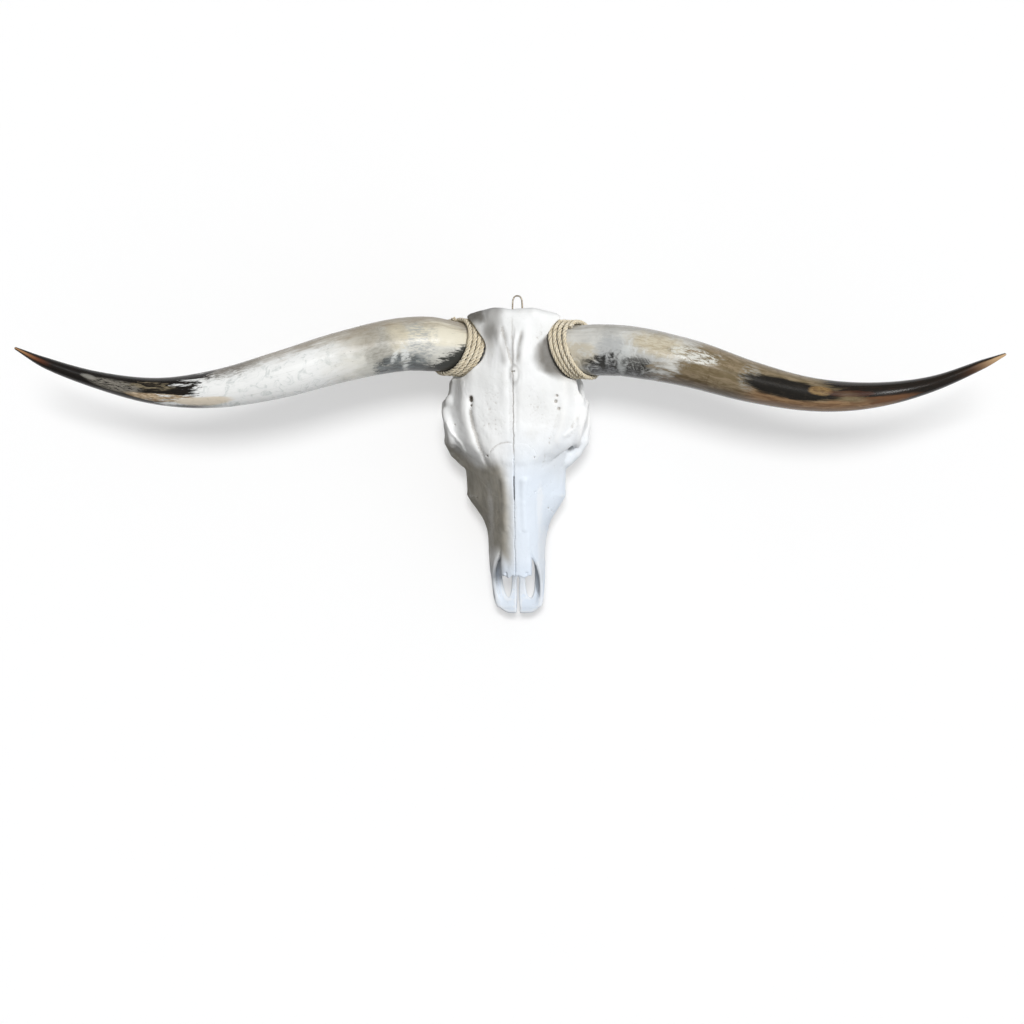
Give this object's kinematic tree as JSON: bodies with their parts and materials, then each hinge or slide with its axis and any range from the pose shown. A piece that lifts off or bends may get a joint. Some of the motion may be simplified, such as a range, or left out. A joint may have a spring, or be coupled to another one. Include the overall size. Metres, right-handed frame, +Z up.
{
  "type": "longhorn steer skull",
  "caption": "Longhorn steer skull without its lower jaw, with long swept horns, rope wound round the horn bases and a wire hanging loop.",
  "frame": {"origin": "middle of the outline seen from above, at the level of the floor that the worn teeth and the processes beside the back of the head stand on", "axes": "+X across towards the horn on the right of the picture, +Y from the nose to the poll, +Z up out of the forehead"},
  "size_m": [1.2188, 0.4008, 0.1758],
  "materials": {
    "bone": "dry bleached bone, matte",
    "horn_pale": "polished horn, cream and grey turning black at the tip",
    "horn_brown": "polished horn, grey and caramel brown turning black at the tip",
    "rope": "twisted sisal",
    "wire": "plain steel wire"
  },
  "bodies": {
    "root": {"frontal_left": "bone", "frontal_right": "bone", "occipital": "bone", "nasal_left": "bone", "nasal_right": "bone", "vomer": "bone", "incisive_left": "bone", "incisive_right": "bone", "zygomatic_left": "bone", "zygomatic_right": "bone", "maxilla_left": "bone", "maxilla_right": "bone", "horn_left": "horn_pale", "horn_right": "horn_brown", "rope_left": "rope", "rope_right": "rope", "hanger_wire": "wire"}
  },
  "joints": []
}
